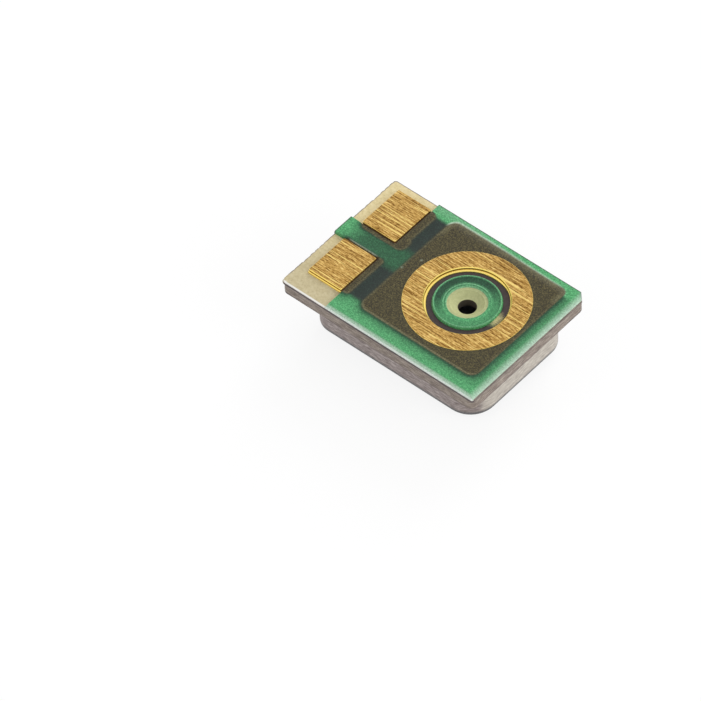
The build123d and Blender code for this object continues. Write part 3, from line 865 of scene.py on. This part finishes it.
def island_profile(radius):
    """Height of the island: a smooth step up from its inner edge with a low ridge on it, a bell
    curve for the bead, and a quarter of an ellipse down to its outer wall."""
    floor = floor_height * smooth(island_inner, island_inner + slope_width, radius)
    ridge = ridge_height * bell(radius - ridge_radius, ridge_width)
    bead = (island_height - floor_height) * bell(radius - bead_radius, bead_width)
    return (floor + ridge + bead) * ellipse_edge(island_outer - radius, outer_edge, edge_least)


island_r = np.linspace(island_outer, island_inner, 60)
island_z = board_top + island_profile(island_r)
island_z[-1] = board_top
island_section = np.vstack([(island_outer, board_top), np.stack([island_r, island_z], axis=-1)])
island_rows = raised(port + island_section[:, None, :1] * circle, island_section[:, 1:])
island_faces = hoops(island_rows, closed=True)
island = piece(
    "port_film_ring", island_rows, island_faces, film, ["port_mask_ring"]
)

# Painted shade: the hollow behind the bead and the sides of the ridge are dark, most at the far
# left. Painted highlight: the bead's crest and the ridge are pale, the ridge at the far left; the
# thin inner edge is pale too. Each line is a radius and a width.
dark_side, dark_edge = math.radians(140), (-0.6, 0.8)
hollow_outer = (bead_radius - 0.004, bead_radius - 0.02)
hollow_inner = (0.333, 0.366)
island_lines = (
    (bead_radius, 0.008), (bead_radius - 0.016, 0.007), (ridge_radius + 0.014, 0.010),
    (ridge_radius - 0.001, 0.007), (ridge_radius - 0.019, 0.008), (island_inner, 0.011),
)
hollow_least, hollow_most, floor_shade = 0.15, 0.85, 0.25
ridge_sides, bead_side, crest_clear = 0.5, 0.45, 0.8
crest_pale, ridge_pale, edge_pale = 0.10, 0.15, 0.24
radius = np.broadcast_to(island_section[:, :1], island_rows.shape[:2])
crest, bead_inside, ridge_outside, ridge, ridge_inside, thin_edge = (
    bell(radius - line_radius, width) for line_radius, width in island_lines
)
dark_share = smooth(*dark_edge, np.cos(angle - dark_side))[None, :]
hollow = smooth(*hollow_outer, radius) * smooth(*hollow_inner, radius)
hollow_shade = hollow_least + (hollow_most - hollow_least) * dark_share
island_shade = hollow * hollow_shade + floor_shade * (1 - ridge)
island_shade = island_shade + ridge_sides * (ridge_outside + ridge_inside) * dark_share
island_shade = np.maximum(island_shade, bead_side * bead_inside)
island_shade = island_shade * (1 - crest_clear * crest) * (1 - thin_edge)
island_pale = crest_pale * crest + ridge_pale * ridge * dark_share + edge_pale * thin_edge
film_marks(island, shade=np.clip(island_shade, 0, 1), pale=np.clip(island_pale, 0, 1))

# Film smear. A dab of the same film, left by the printing. It is squeezed across the groove,
# from the green ring to the gold ring, on one side.
smear_turn = (-24, 27)
smear_reach = (0.39, 0.562)
smear_middle = (0.487, math.radians(2))
smear_half = (0.10, math.radians(21))
smear_height = 0.020
smear_least = 0.02
smear_bump = 0.002
smear_grain, smear_uneven = 0.03, 0.25
core_least, core_side = 0.45, (0.9, -0.2)
gold_from, gold_side = (0.42, 0.50), (-1.0, -0.3)
smear_lines = np.linspace(*smear_reach, 28), np.radians(np.linspace(*smear_turn, 60))
smear_r, smear_a = np.meshgrid(*smear_lines, indexing="ij")
along = (smear_r - smear_middle[0]) / smear_half[0]
across = (smear_a - smear_middle[1]) / smear_half[1]
uneven = grain(np.stack([smear_r, smear_a, 0 * smear_a], axis=-1), smear_grain, seed=9)
body = np.clip(1 - across ** 2 - along ** 2 + smear_uneven * uneven, 0, 1)
smear_xy = port + smear_r[..., None] * np.stack([np.cos(smear_a), np.sin(smear_a)], axis=-1)
smear_over = raised(smear_xy, board_top + smear_height * body).reshape(-1, 3)
smear_under = raised(smear_xy, board_top).reshape(-1, 3)
smear_cells = grid_cells(body.shape)
smear_cells = smear_cells[(body.ravel()[smear_cells] > smear_least).any(axis=1)]
smear_used, smear_cells = trimmed(smear_cells)
smear_points, smear_faces = sheet(smear_cells, smear_over[smear_used], smear_under[smear_used])
smear_paint, tree, shader = finish("film_smear", Roughness=0.6)
body_tone = blend(tree, mark(tree, "toward_gold"), tint(80, 140, 92), tint(188, 182, 130))
smear_tone = blend(tree, mark(tree, "core"), tint(66, 56, 54), body_tone)
tree.links.new(smear_tone, shader.inputs["Base Color"])
bump(tree, shader, cloud(tree, (55, 55, 55)), smear_bump)
smear = piece("film_smear", smear_points, smear_faces, smear_paint)
core = smooth(0, 1, body) * (core_least + (1 - core_least) * smooth(*core_side, across))
toward_gold = smooth(*gold_from, smear_r) * smooth(*gold_side, across)
core, toward_gold = (np.tile(share.ravel()[smear_used], 2) for share in (core, toward_gold))
marked(smear, core=core, toward_gold=toward_gold)

# MEMS die and its sensing capacitor. Silicon with a thin pierced backplate over the diaphragm,
# glued over the sound port by a ring of silicone. Only the diaphragm shows, deep in the port.


def die_finish(name, dark, light, roughness, metallic=0.0):
    """Smooth chip surface: a faint cloudy tone."""
    material, tree, shader = finish(name, Roughness=roughness, Metallic=metallic)
    colour = ramp(tree, cloud(tree, (9, 9, 9), detail=4), (0.3, dark), (0.7, light))
    tree.links.new(colour, shader.inputs["Base Color"])
    return material


silicon = die_finish("silicon", (98, 99, 104), (128, 129, 134), 0.30, metallic=0.25)
die_glass = die_finish("die_glass", (170, 184, 188), (206, 216, 218), 0.12)
adhesive = die_finish("adhesive", (204, 198, 182), (224, 219, 206), 0.55)
die_metal = die_finish("die_metal", (190, 190, 194), (222, 222, 226), 0.25, metallic=1.0)
dressed(silicon, "mems_die", "diaphragm", "backplate")
dressed(die_glass, "diaphragm_spacer")
dressed(adhesive, "mems_die_attach")
dressed(die_metal, "mems_bond_pads")

# Amplifier die. A second chip beside the first, of plain silicon with sputtered bond pads.
# It sits on a film of dark die attach.
attach_film = die_finish("attach_film", (44, 40, 36), (64, 58, 52), 0.6)
dressed(silicon, "asic_die")
dressed(die_metal, "asic_bond_pads")
dressed(attach_film, "asic_attach")

# Bond wires. Fine gold wire, welded from pad to pad: two from the MEMS die to the amplifier,
# and three from the amplifier to the board.
dressed(gold, "bias_wire", "signal_wire", "supply_wire", "output_wire", "ground_wire")

# Can. Drawn from thin sheet with a satin brushed finish, and one ring marked on its flat face.
# It is soldered to the copper frame under the board.
can_low, can_high = span("can")
can_middle = flat_box("can")[0]
ring_mark = (can_low[0] + 0.50, can_middle[1] - 0.27, can_low[2])
ring_mark_inner = (0.131, 0.141)
ring_mark_outer = (0.219, 0.229)
front_wall = (can_high[0] - 0.09, can_high[0] - 0.01)
wall_foot = (0.105, 0.165)
can_bump = 0.002


def can_finish():
    """Satin sheet metal, brushed across the flat face and mottled on the walls, with painted light
    that makes the front end lighter, painted shade along the foot of the walls, and a pale ring."""
    material, tree, shader = finish("can_metal", Metallic=0.6, Roughness=0.48)
    brushed = cloud(tree, (70, 5, 45), detail=6, roughness=0.7)
    mottle = cloud(tree, (9, 9, 42), detail=5, roughness=0.65)
    side_tone = ramp(
        tree, mottle, (0.33, (116, 104, 101)), (0.5, (152, 140, 137)), (0.67, (188, 177, 173))
    )
    lit_front_tone = ramp(
        tree, mottle, (0.3, (170, 161, 152)), (0.5, (198, 190, 179)), (0.7, (222, 216, 204))
    )
    face_tone = ramp(
        tree, brushed, (0.3, (64, 63, 64)), (0.5, (92, 91, 92)), (0.7, (126, 125, 126))
    )
    point = node(tree, "SeparateXYZ", {0: place(tree)})
    # Painted light: the front end is lighter. Painted shade: the flat face's dark tone runs up the
    # foot of the walls.
    at_front = level(tree, point.outputs[0], *front_wall)
    on_wall = level(tree, point.outputs[2], *wall_foot)
    colour = blend(tree, on_wall, face_tone, blend(tree, at_front, side_tone, lit_front_tone))
    from_mark = away(tree, ring_mark)
    outside = level(tree, from_mark, *ring_mark_inner)
    inside = level(tree, from_mark, *ring_mark_outer, 1.0, 0.0)
    colour = blend(tree, calc(tree, "MULTIPLY", outside, inside), colour, tint(214, 213, 210))
    tree.links.new(colour, shader.inputs["Base Color"])
    bump(tree, shader, brushed, can_bump)
    return material


dressed(can_finish(), "can")

# Solder seam. Reflowed solder, drawn up round the can's foot and spread over the copper frame
# in a rough bright band.
solder = metal_finish(
    "solder", (150, 150, 148), (196, 196, 194), (236, 236, 234), (22, 22, 22), 0.34, depth=0.012
)
dressed(solder, "solder_seam")

# Floor. A plain white sheet, which keeps a soft shadow of the part. The camera sees it white,
# and so do metal and gloss.
floor_size = 0.6
floor_grey = (0.8, 0.8, 0.8, 1)
seen_white = 0.80
seen_strength = 1.07


def seen_rays(tree):
    """1 for the rays that show the background: the camera's, glossy ones and transmitted ones."""
    rays = node(tree, "LightPath").outputs
    shown = calc(tree, "MAXIMUM", rays["Is Camera Ray"], rays["Is Glossy Ray"])
    return calc(tree, "MAXIMUM", shown, rays["Is Transmission Ray"])


corners = ((-1, -1), (1, -1), (1, 1), (-1, 1))
floor_points = [(x * floor_size, y * floor_size, 0) for x, y in corners]
floor_mesh = bpy.data.meshes.new("floor")
floor_mesh.from_pydata(floor_points, [], [(0, 1, 2, 3)])
floor = bpy.data.objects.new("floor", floor_mesh)
bpy.context.scene.collection.objects.link(floor)
floor_paint, tree, shader = finish("floor_paint", Base_Color=floor_grey, Roughness=0.9)
white_share = calc(tree, "MULTIPLY", seen_rays(tree), seen_white)
white = node(tree, "Emission", {"Color": (1, 1, 1, 1), "Strength": seen_strength})
mixed = node(tree, "MixShader", {0: white_share, 1: shader.outputs[0], 2: white.outputs[0]})
tree.links.new(mixed.outputs[0], tree.nodes["Material Output"].inputs["Surface"])
floor.data.materials.append(floor_paint)

# Studio light. An even white room, soft lamps from behind and from the right, and a weaker one
# from the front left. Each lamp's share is the light that it adds where it strikes square on.
# Metal and gloss show the white room and not the lamps.
room_light = 0.60
room_seen = 1.0
light_target = Vector((0, 0, 0.001))
lamp_distance = 0.10
lamps = {
    "back_lamp": ((-0.20, 0.86, 0.46), 0.030, 0.46),
    "right_lamp": ((0.90, 0.20, 0.38), 0.035, 0.36),
    "front_lamp": ((-0.44, -0.75, 0.50), 0.025, 0.10),
}
world = bpy.data.worlds.new("room")
bpy.context.scene.world = world
world.use_nodes = True
tree = world.node_tree
background = tree.nodes["Background"]
background.inputs["Color"].default_value = (1, 1, 1, 1)
strength = level(tree, seen_rays(tree), 0.0, 1.0, room_light, room_seen)
tree.links.new(strength, background.inputs["Strength"])
for name, (direction, radius, share) in lamps.items():
    lamp = bpy.data.lights.new(name, "AREA")
    lamp.shape = "DISK"
    lamp.size = 2 * radius
    lamp.energy = share * (math.pi * lamp_distance) ** 2
    stand = bpy.data.objects.new(name, lamp)
    bpy.context.scene.collection.objects.link(stand)
    toward = Vector(direction).normalized()
    stand.location = light_target + toward * lamp_distance
    stand.rotation_mode = "QUATERNION"
    stand.rotation_quaternion = toward.to_track_quat("Z", "Y")
    stand.visible_glossy = False

# Camera. A long lens at the photograph's viewing angle: it looks past the part to a point on
# the board's plane, so that the part stands where the photograph shows it.
view_azimuth = math.radians(41.69)
view_elevation = math.radians(48.64)
view_roll = math.radians(-2.68)
view_distance = 83.72
view_lens = 323.2
aim_point = (-0.127, -1.534)
pattern_level = 0.98
near_clip, far_clip = 0.005, 10
level_share = math.cos(view_elevation)
back = Vector((
    math.sin(view_azimuth) * level_share, -math.cos(view_azimuth) * level_share,
    math.sin(view_elevation),
))
camera = bpy.data.objects.new("camera", bpy.data.cameras.new("camera"))
bpy.context.scene.collection.objects.link(camera)
camera.data.lens = view_lens
camera.data.clip_start = near_clip
camera.data.clip_end = far_clip
camera.location = (Vector((0, 0, pattern_level)) + back * view_distance) * MM
sight = Vector((*aim_point, pattern_level)) * MM - camera.location
camera.rotation_mode = "QUATERNION"
roll = Matrix.Rotation(view_roll, 4, "Z").to_quaternion()
camera.rotation_quaternion = sight.to_track_quat("-Z", "Y") @ roll
bpy.context.scene.camera = camera
bpy.context.scene.view_settings.view_transform = "Standard"
